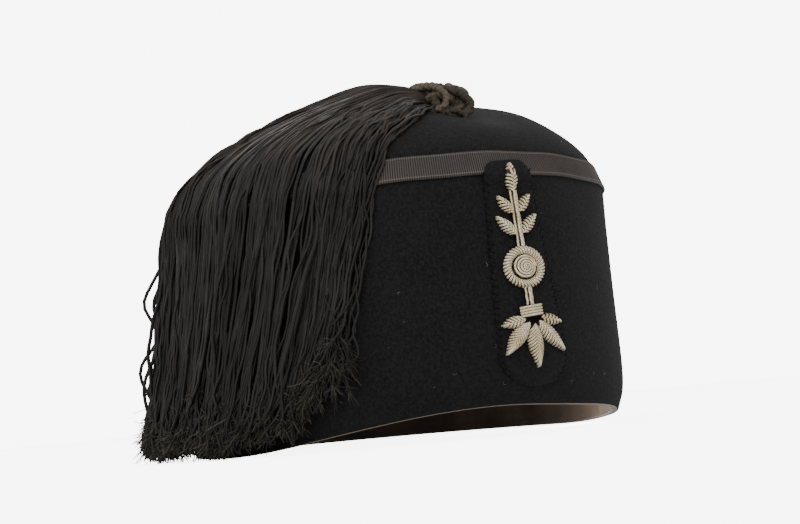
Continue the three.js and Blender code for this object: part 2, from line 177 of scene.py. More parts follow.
def arch_lift(turn, level):
    """How far the rim's arch and its curl at the side lift the wall, fading upwards."""

    def bump(middle, half_width):
        away = np.abs((turn - middle) % 360)
        away = np.minimum(away, 360 - away)
        return np.cos(np.clip(away / half_width, 0, 1) * np.pi / 2) ** 2

    low = 1 - np.clip(level, 0, 1)
    arch = ARCH_RISE * bump(ARCH_TURN, ARCH_HALF_WIDTH) * low**2
    return arch + SIDE_RISE * bump(SIDE_TURN, SIDE_HALF_WIDTH) * low**3


def dent_drop(x, y, closed):
    """How far the dent under the knot lowers the dome."""
    away_x = (x - TIP_SIDEWAYS) / DENT_HALF_WIDTH
    away_y = (y + DENT_FORWARD) / DENT_HALF_LENGTH
    inside = np.clip(1 - (away_x**2 + away_y**2), 0, 1)
    return DENT_DEPTH * inside**2 * smooth(0, 0.25, closed)


def skin(level, turn, lift=0.0, rise=0.0):
    """Points on the hat's skin, moved outwards by lift and up by rise.

    Turn runs in degrees from the front to the wearer's right.
    """
    level, turn, lift = np.broadcast_arrays(np.asarray(level, float), np.asarray(turn, float), lift)
    half_x, half_y, height, closed = section(level)
    out, up = outward(level)
    side = -np.sin(np.radians(turn))
    front = -np.cos(np.radians(turn))
    x = TIP_SIDEWAYS * closed + half_x * side
    y = -TIP_FORWARD * closed + half_y * front
    z = RIM_HEIGHT + height + arch_lift(turn, level) - dent_drop(x, y, closed)
    x = MIDDLE_X + x + side * lift * out
    y = MIDDLE_Y + y + front * lift * out
    return np.stack([x, y, z + lift * up + rise], axis=-1)


def level_direction(turn):
    """The level direction away from the hat's middle at each turn."""
    angle = np.radians(turn)
    return np.stack([-np.sin(angle), -np.cos(angle), np.zeros_like(angle)], axis=-1)


def dome_place(x, y):
    """The dome's level and turn under a plan position measured from the hat's middle."""
    edge_x, edge_y, _, _ = section(2)
    reach_x, reach_y = (x - TIP_SIDEWAYS) / edge_x, (y + TIP_FORWARD) / edge_y
    lean_x, lean_y = TIP_SIDEWAYS / edge_x, -TIP_FORWARD / edge_y
    along = reach_x * lean_x + reach_y * lean_y
    spare = 1 - lean_x**2 - lean_y**2
    share = np.clip((along + np.sqrt(along**2 + spare * (reach_x**2 + reach_y**2))) / spare, 0, 1)
    level = 2 + np.arccos(share ** (DOME_POWER / 2)) / (np.pi / 2)
    return level, np.degrees(np.arctan2(-(reach_x + lean_x * share), -(reach_y + lean_y * share)))


# Making meshes


def finish_piece(piece, material, slot, *replaced):
    """Gives a piece its material and says which solids it stands in for; its slot is not used."""
    piece.data.materials.clear()
    piece.data.materials.append(material)
    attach(piece, "root")
    if replaced:
        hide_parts(*replaced)


def wrapped_sheet(name, columns, rows, place, merge=1e-6):
    """A flat grid laid onto a surface: place turns the grid's shares across and along into points."""
    bpy.ops.object.select_all(action="DESELECT")
    bpy.ops.mesh.primitive_grid_add(x_subdivisions=columns, y_subdivisions=rows, size=1)
    piece = bpy.context.object
    piece.name = name
    mesh = piece.data
    mesh.name = name
    spots = np.empty(len(mesh.vertices) * 3)
    mesh.vertices.foreach_get("co", spots)
    spots = spots.reshape(-1, 3)
    mesh.vertices.foreach_set("co", place(spots[:, 0] + 0.5, spots[:, 1] + 0.5).ravel())
    bpy.ops.object.mode_set(mode="EDIT")
    bpy.ops.mesh.select_all(action="SELECT")
    bpy.ops.mesh.remove_doubles(threshold=merge)
    bpy.ops.mesh.normals_make_consistent(inside=False)
    bpy.ops.object.mode_set(mode="OBJECT")
    bpy.ops.object.shade_smooth()
    return piece


def tubes(name, paths, radius, sides, outline=None):
    """Closed tubes in one mesh.

    Paths is tubes by steps by 3, and outline scales the radius by angle and distance.
    """
    paths = np.asarray(paths, float)
    count, steps, _ = paths.shape
    radius = np.broadcast_to(radius, (count, steps))
    forward = np.gradient(paths, axis=1)
    forward /= np.linalg.norm(forward, axis=2, keepdims=True) + 1e-12
    across = np.cross(forward[:, 0], np.array([0.31, 0.24, 0.92]))
    across /= np.linalg.norm(across, axis=1, keepdims=True) + 1e-12
    frames = np.empty_like(paths)
    for step in range(steps):
        ahead = forward[:, step]
        across = across - ahead * np.sum(across * ahead, axis=1, keepdims=True)
        across /= np.linalg.norm(across, axis=1, keepdims=True) + 1e-12
        frames[:, step] = across
    other = np.cross(forward, frames)
    lengths = np.linalg.norm(np.diff(paths, axis=1), axis=2)
    travelled = np.concatenate([np.zeros((count, 1)), np.cumsum(lengths, axis=1)], axis=1)
    angle = np.arange(sides) * 2 * np.pi / sides
    scale = outline(angle, travelled[:, :, None]) if outline else 1.0
    reach = np.broadcast_to(radius[:, :, None] * scale, (count, steps, sides))
    points = paths[:, :, None, :] + frames[:, :, None, :] * (np.cos(angle) * reach)[..., None]
    points = points + other[:, :, None, :] * (np.sin(angle) * reach)[..., None]

    start = (np.arange(count) * steps * sides)[:, None, None]
    ring = (np.arange(steps - 1) * sides)[None, :, None]
    side = np.arange(sides)[None, None, :]
    following = (side + 1) % sides
    near = start + ring
    quads = [near + side, near + following, near + sides + following, near + sides + side]
    quads = np.stack(quads, axis=-1).reshape(-1, 4)
    first = start[:, 0] + side[0, :, ::-1]
    last = start[:, 0] + (steps - 1) * sides + side[0]
    caps = np.concatenate([first, last])
    corners = np.concatenate([quads.ravel(), caps.ravel()])
    sizes = np.concatenate([np.full(len(quads), 4), np.full(len(caps), sides)])

    mesh = bpy.data.meshes.new(name)
    mesh.vertices.add(count * steps * sides)
    mesh.vertices.foreach_set("co", points.ravel())
    mesh.loops.add(len(corners))
    mesh.loops.foreach_set("vertex_index", corners.astype(np.int32))
    mesh.polygons.add(len(sizes))
    loop_starts = np.concatenate([[0], np.cumsum(sizes)[:-1]])
    mesh.polygons.foreach_set("loop_start", loop_starts.astype(np.int32))
    mesh.polygons.foreach_set("use_smooth", np.ones(len(sizes), bool))
    mesh.update(calc_edges=True)
    mesh.validate()

    round_share = np.stack([side, side + 1, side + 1, side], axis=-1) / sides
    far = [travelled[:, :-1], travelled[:, :-1], travelled[:, 1:], travelled[:, 1:]]
    far = np.stack(far, axis=-1)[:, :, None, :] * 1000  # in millimetres
    wrap = np.stack(np.broadcast_arrays(round_share, far), axis=-1).reshape(-1, 2)
    layer = mesh.uv_layers.new(name="wrap")
    layer.data.foreach_set("uv", np.concatenate([wrap, np.zeros((caps.size, 2))]).ravel())
    strand = mesh.attributes.new("strand", "FLOAT", "POINT")
    strand.data.foreach_set("value", np.repeat(random.random(count), steps * sides))
    piece = bpy.data.objects.new(name, mesh)
    bpy.context.scene.collection.objects.link(piece)
    return piece


# Materials


def linear(colour):
    """A hex colour as linear values."""
    parts = [int(colour[i : i + 2], 16) / 255 for i in (1, 3, 5)]
    return [p / 12.92 if p <= 0.04045 else ((p + 0.055) / 1.055) ** 2.4 for p in parts] + [1]


def add(tree, kind, inputs=None, **settings):
    """Adds a node. Each input is a value, or another node's output to link."""
    made = tree.nodes.new(kind)
    for name, value in settings.items():
        setattr(made, name, value)
    for name, value in (inputs or {}).items():
        if isinstance(value, bpy.types.NodeSocket):
            tree.links.new(value, made.inputs[name])
        else:
            made.inputs[name].default_value = value
    return made


def object_spots(tree):
    """Places on the piece, in metres."""
    return add(tree, "ShaderNodeTexCoord").outputs["Object"]


def laid_out(tree, layer):
    """A UV layer's X and Y."""
    laid = add(tree, "ShaderNodeUVMap", uv_map=layer).outputs["UV"]
    return add(tree, "ShaderNodeSeparateXYZ", {"Vector": laid}).outputs


def noise(tree, spots, scale, detail, roughness=0.5):
    """A noise from 0 to 1, mostly in the middle of that."""
    inputs = {"Vector": spots, "Scale": scale, "Detail": detail, "Roughness": roughness}
    return add(tree, "ShaderNodeTexNoise", inputs).outputs["Fac"]


def spread(tree, value, low, high, first=0.0, last=1.0):
    """A value's stretch from low to high spread over first to last."""
    inputs = {"Value": value, "From Min": low, "From Max": high, "To Min": first, "To Max": last}
    return add(tree, "ShaderNodeMapRange", inputs).outputs["Result"]


def reckon(tree, operation, *values, clamped=False):
    """The result of a sum on one or two values."""
    inputs = dict(enumerate(values))
    return add(tree, "ShaderNodeMath", inputs, operation=operation, use_clamp=clamped).outputs[0]


def blend(tree, share, first, second):
    """Blends two colours, each a hex value or another node's output."""
    colours = [linear(value) if isinstance(value, str) else value for value in (first, second)]
    inputs = {"Fac": share, "Color1": colours[0], "Color2": colours[1]}
    return add(tree, "ShaderNodeMixRGB", inputs).outputs["Color"]


def coil_wave(tree, pitch, plies):
    """A wave that winds round a tube: pitch is millimetres for one turn."""
    wrap = laid_out(tree, "wrap")
    turned = reckon(tree, "MULTIPLY", wrap["Y"], 1 / pitch)
    slanted = reckon(tree, "ADD", turned, wrap["X"])
    return reckon(tree, "SINE", reckon(tree, "MULTIPLY", slanted, 2 * math.pi * plies))


def new_material(name, **values):
    """A material with its shader's own sockets set by name, underscores for spaces."""
    material = bpy.data.materials.new(name)
    material.use_nodes = True
    tree = material.node_tree
    shader = tree.nodes["Principled BSDF"]
    for key, value in values.items():
        shader.inputs[key.replace("_", " ")].default_value = value
    return material, tree, shader


def link_surface(tree, shader, colour, height, strength, distance):
    """Links a colour and a bump to a shader."""
    tree.links.new(colour, shader.inputs["Base Color"])
    bump = add(tree, "ShaderNodeBump", {"Height": height, "Strength": strength, "Distance": distance})
    tree.links.new(bump.outputs["Normal"], shader.inputs["Normal"])


def wool_felt():
    """Black wool felt, fulled and brushed: matt and very dark, with a short dense nap."""
    tuft = 0.0005  # width of a tuft of nap, drawn coarser than a fibre so that it shows
    values = {"Roughness": 0.95, "Sheen_Weight": 0.02, "Sheen_Roughness": 0.6}
    material, tree, shader = new_material("black_wool_felt", Specular_IOR_Level=0.15, **values)
    spots = object_spots(tree)
    nap = noise(tree, spots, 0.5 / tuft, 4, 0.75)
    cloud = noise(tree, spots, 38, 5, 0.65)
    base = blend(tree, spread(tree, cloud, 0.35, 0.75), "#060607", "#101011")
    napped = blend(tree, spread(tree, nap, 0.38, 0.75), base, "#201f21")
    link_surface(tree, shader, napped, nap, 0.7, 0.0004)
    return material


def grosgrain(ribs):
    """Rayon grosgrain ribbon, faded from black to brown: a low silky gloss on its fine ribs, with painted
    shade in the grooves between them.
    """
    values = {"Roughness": 0.6, "Sheen_Weight": 0.05, "Specular_IOR_Level": 0.3}
    material, tree, shader = new_material("faded_grosgrain_ribbon", **values)
    spots = object_spots(tree)
    woven = laid_out(tree, "UVMap")
    worn = noise(tree, spots, 60, 5, 0.65)
    wave = reckon(tree, "COSINE", reckon(tree, "MULTIPLY", woven["X"], ribs * 2 * math.pi))
    base = blend(tree, spread(tree, worn, 0.3, 0.72), "#37302b", "#51473f")
    # painted shade: the colour darkens to near black in the grooves between the ribs
    ribbed = blend(tree, spread(tree, wave, -0.7, 0.55), base, "#080706")
    outwards = reckon(tree, "ABSOLUTE", reckon(tree, "SUBTRACT", woven["Y"], FACE_MIDDLE))
    away = reckon(tree, "ABSOLUTE", reckon(tree, "SUBTRACT", outwards, SELVEDGE_REACH))
    edged = blend(tree, spread(tree, away, 0, 0.02, 0.6, 0), ribbed, "#6b6058")
    link_surface(tree, shader, edged, noise(tree, spots, 2500, 2), 0.3, 0.0001)
    return material


def band_leather():
    """Thin sheepskin, worn smooth and darkened inside and tan along its folded edge: satin."""
    material, tree, shader = new_material("worn_sheepskin_leather", Specular_IOR_Level=0.45)
    spots = object_spots(tree)
    stain = noise(tree, spots, 26, 5, 0.6)
    grain = add(tree, "ShaderNodeTexVoronoi", {"Vector": spots, "Scale": 1400})
    inside = blend(tree, spread(tree, stain, 0.32, 0.7), "#3c322b", "#6b5d51")
    edge = spread(tree, laid_out(tree, "UVMap")["Y"], 0.2, 0.15)
    leather = blend(tree, edge, inside, "#8f806c")
    tree.links.new(spread(tree, stain, 0, 1, 0.34, 0.56), shader.inputs["Roughness"])
    link_surface(tree, shader, leather, grain.outputs["Distance"], 0.25, 0.0001)
    return material


def gilt_wire():
    """Purl, a gilt wire wound in a coil: pale aged gold, bright on the turns, with painted shade darkening it
    between them.
    """
    coil = 0.45  # millimetres from turn to turn, drawn coarser than real so that it shows
    material, tree, shader = new_material("aged_gilt_purl_wire", Metallic=0.6, Roughness=0.32)
    turns = coil_wave(tree, coil, 1)
    tarnish = noise(tree, object_spots(tree), 300, 4, 0.7)
    gilt = blend(tree, spread(tree, tarnish, 0.38, 0.7), "#fff3d6", "#e3cc9c")
    # painted shade: dark brown blended in between the coil's turns
    shade_between_turns = spread(tree, turns, 0.1, -0.9, 0, 0.8)
    link_surface(tree, shader, blend(tree, shade_between_turns, gilt, "#3f301c"), turns, 0.6, 0.0001)
    return material


def padding():
    """Felt padding under the wires, seen only between them: matt, its dark brown colour painted shade between
    the wires.
    """
    material, tree, shader = new_material("padding_felt_painted_shade", Roughness=0.9)
    fibre = noise(tree, object_spots(tree), 1500, 3)
    # painted shade: the padding is coloured dark brown so that the gaps between the wires look shaded
    tree.links.new(blend(tree, fibre, "#1a140c", "#3d2f1c"), shader.inputs["Base Color"])
    return material


def twisted(name, dark, pale, ply, roughness, faded=None):
    """Twisted thread or cord: plies that wind round each other, with a soft gloss along each and painted
    shade in the grooves between them.

    Ply is the millimetres for one turn, and faded is the colour on top of the hat.
    """
    material, tree, shader = new_material(name, Roughness=roughness, Specular_IOR_Level=0.17)
    turns = coil_wave(tree, ply, 2)
    strand = add(tree, "ShaderNodeAttribute", attribute_name="strand").outputs["Fac"]
    spots = object_spots(tree)
    tone = reckon(tree, "MULTIPLY", strand, noise(tree, spots, 45, 4))
    colour = blend(tree, spread(tree, tone, 0.08, 0.62), dark, pale)
    if faded:
        height = add(tree, "ShaderNodeSeparateXYZ", {"Vector": spots}).outputs["Z"]
        burn = reckon(tree, "MULTIPLY", spread(tree, height, 0.085, 0.125), tone)
        colour = blend(tree, reckon(tree, "MULTIPLY", burn, 2.0, clamped=True), colour, faded)
    # painted shade: the colour darkens to near black in the grooves between the plies
    ply_groove_shade = spread(tree, turns, -0.2, -1.0, 0, 0.35)
    link_surface(tree, shader, blend(tree, ply_groove_shade, colour, "#060505"), turns, 0.3, 0.0001)
    return material


def seen_white(tree, lit, glow, strength):
    """Lets only the camera see a white glow over what lights the hat, so that the backdrop stays pale."""
    path = add(tree, "ShaderNodeLightPath")
    white = add(tree, glow, {"Color": linear("#f4f4f4"), "Strength": strength})
    mixed = add(tree, "ShaderNodeMixShader", {"Fac": path.outputs["Is Camera Ray"]})
    tree.links.new(lit, mixed.inputs[1])
    tree.links.new(white.outputs[0], mixed.inputs[2])
    return mixed.outputs[0]


def studio_white():
    """Matt white board under and behind the hat, which keeps a soft shadow on a pale glow."""
    material, tree, shader = new_material("matt_white_board", Roughness=0.9)
    shader.inputs["Base Color"].default_value = linear("#f6f6f6")
    camera_ray = add(tree, "ShaderNodeLightPath").outputs["Is Camera Ray"]
    shader.inputs["Emission Color"].default_value = linear("#f4f4f4")
    glow = reckon(tree, "MULTIPLY", camera_ray, FLOOR_GLOW)
    tree.links.new(glow, shader.inputs["Emission Strength"])
    return material


# Camera and light

BACKDROP_GLOW = 8.6
FLOOR_GLOW = 6.9
CAMERA_PLACE = (MIDDLE_X - 0.2414, MIDDLE_Y - 0.5177, RIM_HEIGHT + 0.0102)
CAMERA_AHEAD = (0.42942, 0.89733, 0.10193)
CAMERA_UP = (0.03931, -0.13133, 0.99056)
CAMERA_LENS = 65.13
LAMPS = [
    {"name": "key", "place": (-0.9, -1.1, 1.3), "size": 0.9, "power": 17},
    {"name": "fill", "place": (1.2, -0.7, 0.8), "size": 1.2, "power": 0.7},
    {"name": "rim", "place": (0.4, 1.3, 1.1), "size": 0.8, "power": 4},
]
LAMP_TARGET = Vector((MIDDLE_X, MIDDLE_Y, 0.07))
INSIDE_LAMP = {"place": (MIDDLE_X + 0.059, MIDDLE_Y - 0.035, 0.022), "size": 0.008, "power": 0.06}


def set_camera():
    """The photo's own view: close to the surface, a little turned to one side, looking slightly up."""
    ahead = Vector(CAMERA_AHEAD).normalized()
    right = ahead.cross(Vector(CAMERA_UP)).normalized()
    upward = right.cross(ahead)
    camera_data = bpy.data.cameras.new("camera")
    camera_data.sensor_width = 36
    camera_data.lens = CAMERA_LENS
    camera_data.clip_start = 0.01
    camera = bpy.data.objects.new("camera", camera_data)
    turned = Matrix((right, upward, -ahead)).transposed().to_4x4()
    camera.matrix_world = Matrix.Translation(Vector(CAMERA_PLACE)) @ turned
    bpy.context.scene.collection.objects.link(camera)
    bpy.context.scene.camera = camera


def area_light(name, place, size, power):
    """A square soft light that faces the hat."""
    data = bpy.data.lights.new(name, "AREA")
    data.size = size
    data.energy = power
    light = bpy.data.objects.new(name, data)
    light.location = place
    light.rotation_euler = (LAMP_TARGET - Vector(place)).to_track_quat("-Z", "Y").to_euler()
    bpy.context.scene.collection.objects.link(light)


def inside_light():
    """A small lamp behind the front wall that lights the leather inside the hat."""
    data = bpy.data.lights.new("inside", "POINT")
    data.energy = INSIDE_LAMP["power"]
    data.shadow_soft_size = INSIDE_LAMP["size"]
    light = bpy.data.objects.new("inside", data)
    light.location = INSIDE_LAMP["place"]
    bpy.context.scene.collection.objects.link(light)


def set_studio():
    bpy.ops.object.select_all(action="DESELECT")
    bpy.ops.mesh.primitive_plane_add(size=30)
    floor = bpy.context.object
    floor.name = "studio_floor"
    floor.data.materials.append(studio_white())
    world = bpy.data.worlds.new("studio")
    bpy.context.scene.world = world
    world.use_nodes = True
    tree = world.node_tree
    sky = tree.nodes["Background"]
    sky.inputs["Color"].default_value = linear("#f4f4f4")
    sky.inputs["Strength"].default_value = 1.0
    seen = seen_white(tree, sky.outputs[0], "ShaderNodeBackground", BACKDROP_GLOW)
    tree.links.new(seen, tree.nodes["World Output"].inputs["Surface"])
    for lamp in LAMPS:
        area_light(**lamp)
    inside_light()


# Crown, ribbon and sweatband


def unevenness(turn, level):
    """Slow soft unevenness of a blocked felt wall."""
    angle = np.radians(turn)
    swells = np.sin(3 * angle + 2.1 * level)
    swells = swells + 0.7 * np.sin(7 * angle - 3.7 * level + 1)
    swells = swells + 0.5 * np.sin(13 * angle + 6 * level)
    under_ribbon = smooth(0.85, 1.0, level) * (1 - smooth(2.0, 2.3, level))
    return 0.00022 * swells * smooth(0, 0.08, level) * (1 - under_ribbon)


def make_crown(felt):
    """The felt in one sheet: down its outside, round the rim's edge and up its inside."""
    outside, edge, inside = 110, 8, 60
    rows = outside + edge + inside
    lip_drop = 0.001

    def place(across, along):
        turn = across * 360
        row = np.rint(along * rows).astype(int)
        down = np.clip(row / outside, 0, 1)
        level_out = 3 * (1 - down) ** 1.25
        round_rim = np.clip((row - outside) / edge, 0, 1)
        back_up = np.clip((row - outside - edge) / inside, 0, 1)
        level = np.where(row <= outside, level_out, 3 * back_up)
        bend = round_rim * np.pi
        lift = np.where(row <= outside, 0, -FELT * (1 - np.cos(bend)) / 2)
        lip = smooth(0.03, 0, level_out) * np.clip(1 - round_rim * 1.6, 0, 1)
        on_edge = (row > outside) & (row < outside + edge)
        drop = lip_drop * lip + np.where(on_edge, np.sin(bend), 0) * FELT * 0.1
        return skin(level, turn, lift + unevenness(turn, level), -drop)

    finish_piece(wrapped_sheet("felt_crown", 220, rows, place), felt, "felt", "crown_wall", "crown_top")


def loop_of(corners, turn, around):
    """A closed band: corners are rows of level, lift and rise, around the share of the way past them."""
    table = np.array(corners + corners[:1], float)
    steps = np.linspace(0, 1, len(table))
    level, lift, rise = (np.interp(around, steps, table[:, i]) for i in range(3))
    return skin(level, turn, lift, rise)


def make_ribbon():
    """The ribbon as a closed band, its face raised in ribs and selvedges."""
    ribs = round(math.pi * (HAT_LENGTH + HAT_WIDTH) / 2 / RIB_SPACING)
    low, high = CLEARANCE, CLEARANCE + RIBBON
    face = [[mix(1.01, 1.99, i / RIBBON_ROWS), high, 0] for i in range(RIBBON_ROWS + 1)]
    side = [[2.0, mix(low, high, 0.6), 0], [2.0, low, 0], [1.5, low, 0], [1.0, low, 0]]
    corners = [[1.0, mix(low, high, 0.6), 0]] + face + side

    def place(across, around):
        turn = across * 360
        share = (around * len(corners) - 1) / RIBBON_ROWS
        selvedge = np.exp(-(((share - SELVEDGE_INSET) / SELVEDGE_WIDTH) ** 2))
        selvedge = selvedge + np.exp(-(((share - 1 + SELVEDGE_INSET) / SELVEDGE_WIDTH) ** 2))
        woven = (share >= 0) & (share <= 1)
        ribbed = RIB_DEPTH * (0.5 - 0.5 * np.cos(across * ribs * 2 * np.pi) - 0.6)
        ridge = np.where(woven, ribbed + SELVEDGE_DEPTH * selvedge, 0)
        angle = np.radians(turn)
        spots = loop_of(corners, turn, around) + level_direction(turn) * ridge[:, None]
        spots[:, 2] += 0.00025 * np.sin(angle * 5 + 1) + 0.00015 * np.sin(angle * 17)
        return spots

    ribbon = wrapped_sheet("grosgrain_ribbon", ribs * 4, len(corners), place, 1e-7)
    finish_piece(ribbon, grosgrain(ribs), "ribbon", "ribbon_band")


def make_sweatband(material):
    """The leather band inside the rim, turned out under the felt as the hat's foot."""
    outer = -FELT - CLEARANCE
    inner = outer - LEATHER
    top = SWEATBAND_HEIGHT / WALL_HEIGHT
    under = -RIM_HEIGHT
    corners = [
        [0, -0.0006, under + LEATHER],
        [0, -0.0004, under + LEATHER / 2],
        [0, -0.0005, under + 0.00012],
        [0, -0.0008, under],
        [0, inner + 0.0006, under],
        [0, inner + 0.0002, under + 0.00015],
        [0, inner, under + 0.0006],
        [0.03, inner, 0],
        [0.1, inner, 0],
        [0.2, inner, 0],
        [0.3, inner, 0],
        [top, inner, 0],
        [top + 0.004, (inner + outer) / 2, 0],
        [top, outer, 0],
        [0.2, outer, 0],
        [0.05, outer, 0],
        [0, outer, under + LEATHER],
    ]

    def place(across, around):
        turn = across * 360
        spots = loop_of(corners, turn, around)
        angle = np.radians(turn)
        wave = 0.00012 * (np.sin(angle * 19 + around * 9) + 0.7 * np.sin(angle * 41 - around * 14))
        free = smooth(0.4, 0.5, around) * (1 - smooth(0.62, 0.7, around))
        return spots - level_direction(turn) * (np.abs(wave) * free)[:, None]

    finish_piece(wrapped_sheet("leather_sweatband", 240, 68, place), material, "leather", "sweatband")


# Badge


def badge_point(across, up, above):
    """A point on the badge: across towards +X, up from the patch's foot, above the skin under it."""
    across, up, above = np.broadcast_arrays(np.asarray(across, float), np.asarray(up, float), above)
    cosine, sine = math.cos(PATCH_LEAN), math.sin(PATCH_LEAN)
    side = PATCH_OFFSET + across * cosine - (up - PATCH_LENGTH / 2) * sine
    height = PATCH_FOOT_HEIGHT + up * cosine + across * sine
    on_shoulder = 1 + (height - WALL_HEIGHT) / SHOULDER_RISE
    level = np.where(height <= WALL_HEIGHT, height / WALL_HEIGHT, on_shoulder)
    on_ribbon = (CLEARANCE + RIBBON) * smooth(WALL_HEIGHT - 0.005, WALL_HEIGHT - 0.0008, height)
    turn = -np.degrees(np.arcsin(side / section(level)[0]))
    return skin(level, turn, CLEARANCE + on_ribbon + above)


def patch_half_width(up):
    """Half the patch's width at a height above its foot: round below, square with soft corners above."""
    foot, top, corner = PATCH_FOOT / 2, PATCH_TOP / 2, PATCH_TOP * 0.3
    side = mix(foot, top, np.clip((up - foot) / (PATCH_LENGTH - foot), 0, 1))
    low = np.sqrt(np.clip(foot**2 - (foot - up) ** 2, 0, None))
    down = PATCH_LENGTH - up
    high = side - corner + np.sqrt(np.clip(corner**2 - (corner - down) ** 2, 0, None))
    return np.where(up < foot, low, np.where(down < corner, high, side))


def make_patch(felt):
    """The patch as a closed sheet, its face over three quarters of the way round."""

    def place(around, along):
        up = PATCH_LENGTH * (0.5 - 0.5 * np.cos(np.pi * along))
        half = patch_half_width(up)
        half = half * np.clip(np.minimum(along, 1 - along) * 200, 0, 1)
        on_face = around <= 0.75
        share = np.where(on_face, around / 0.75 * 2 - 1, 1 - (around - 0.75) / 0.25 * 2)
        edge = np.clip(1 - np.abs(share) ** 14, 0, 1) ** 0.5
        ends = smooth(0, 0.0009, np.minimum(up, PATCH_LENGTH - up))
        wave = 1 + 0.012 * np.sin(up * 900) + 0.01 * np.sin(up * 2300 + 1)
        return badge_point(share * half * wave, up, np.where(on_face, PATCH * edge * ends, 0))

    finish_piece(wrapped_sheet("patch_felt", 64, 200, place), felt, "felt", "badge_patch")


def make_patch_stitches(material):
    """Overcast stitches that hold the patch's edge down."""
    spacing, reach = 0.0026, 0.0014
    t = np.linspace(-1, 1, 7)
    paths = []
    for side in (-1, 1):
        for up in np.arange(0.004, PATCH_LENGTH - 0.002, spacing):
            slant = random.uniform(0.0003, 0.0009)
            across = side * (patch_half_width(up + t * slant) + t * reach * 0.5 - 0.0003)
            down = mix(PATCH + 0.0002, -0.0001, (t - 0.4) / 0.6)
            above = np.where(t < 0.4, PATCH + 0.00022, down) - 0.0004 * t**8
            paths.append(badge_point(across, up + t * slant, above))
    finish_piece(tubes("patch_stitches", paths, 0.0002, 6), material, "thread")


def pad_rise(share):
    """Height of a pad at a share of the way from its middle line to its edge."""
    return PAD * np.sqrt(np.clip(1 - (0.93 * share) ** 2, 0, 1))


def leaf_wires(name, material, x, y, length, width, angle):
    """A leaf worked in wires laid slantwise from its vein to its edges."""
    wire, spacing = 0.0004, 0.00116
    count = max(4, round(length * 0.9 / spacing))
    cosine, sine = math.cos(math.radians(angle)), math.sin(math.radians(angle))
    t = np.linspace(0, 1, 9)
    paths = []
    for side in (-1, 1):
        for k in range(count):
            start = 0.01 + 0.9 * (k + (0.5 if side > 0 else 0)) / count
            end = min(0.985, start + 0.13)
            along = mix(start, end, t) * length
            across = side * (width / 2 * math.sin(math.pi * end**0.8)) * t
            rise = pad_rise(t) * mix(0.6, 1, math.sin(math.pi * mix(0.1, 0.9, start)))
            above = PAD_FOOT + rise + wire * 0.75 - t**6 * 0.0009
            right = x + across * cosine + along * sine
            up = y + along * cosine - across * sine
            paths.append(badge_point(right, up, above))
    finish_piece(tubes(name, paths, wire, 8), material, "bullion")


def bar_wires(name, material, start, end, half, crossing):
    """A bar from start to end worked in wires: crossing it for a tie, along it for a stem."""
    wire = 0.00045
    paths = []
    if crossing:
        count = max(3, round((end - start) / (wire * 2.5)))
        t = np.linspace(-1, 1, 13)
        above = PAD_FOOT + PAD * 0.8 * np.sqrt(np.clip(1 - (0.96 * t) ** 2, 0, 1)) + wire
        for k in range(count):
            up = mix(start, end, (k + 0.5) / count) + 0.0004 * t
            paths.append(badge_point(half * 1.08 * t, up, above))
    else:
        t = np.linspace(0, 1, 24)
        for offset in (-1, 0, 1):
            above = PAD_FOOT + PAD * (0.8 if offset == 0 else 0.35) + wire * 0.6
            across = half * (offset * 1.25 + 0.1 * np.sin(t * 14 + offset * 2))
            paths.append(badge_point(across, mix(start, end, t), above))
    finish_piece(tubes(name, paths, wire, 8), material, "bullion")


def plied(plies, pitch, depth=0.3):
    """The outline of a rope whose plies turn along its length, with grooves of a depth between them."""

    def outline(angle, travelled):
        across = np.abs(np.sin((angle - travelled / pitch * 2 * np.pi) * plies / 2))
        return 1 - depth * across**3

    return outline


def make_medallion(material):
    """A ring of slanting wires round a fine rope and a wound boss."""
    wire = 0.00042
    count = 36
    t = np.linspace(-1, 1, 11)
    reach = RING_RADIUS - RING_ROPE + RING_ROPE * 1.12 * t
    above = PAD_FOOT + RING_ROPE * 1.3 * np.sqrt(np.clip(1 - (0.93 * t) ** 2, 0, 1)) + wire * 0.5
    paths = []
    for k in range(count):
        angle = 2 * np.pi * k / count + 0.11 * t
        up = RING_MIDDLE + reach * np.sin(angle)
        paths.append(badge_point(reach * np.cos(angle), up, above))
    finish_piece(tubes("badge_ring_wires", paths, wire, 8), material, "bullion")
    boss = RING_RADIUS - 2 * RING_ROPE - 0.0006
    angle = np.linspace(0, 2 * np.pi, 160)
    fine = boss + 0.0004
    cord = badge_point(fine * np.cos(angle), RING_MIDDLE + fine * np.sin(angle), PAD_FOOT + 0.0007)
    finish_piece(tubes("badge_ring_rope", [cord], 0.0004, 10, plied(2, 0.0016)), material, "bullion")
    turns = (boss - 0.0004) / (wire * 2.3)
    t = np.linspace(0, 1, 420)
    reach = (boss - 0.0004) * (1 - t) + 0.00005
    turn = 2 * np.pi * turns * t
    dome = PAD_FOOT + PAD * 1.25 * np.sqrt(np.clip(1 - (0.9 * (1 - t)) ** 2, 0, 1)) + wire * 0.4
    spiral = badge_point(reach * np.cos(turn), RING_MIDDLE + reach * np.sin(turn), dome)
    finish_piece(tubes("badge_boss_coil", [spiral], wire, 8), material, "bullion")


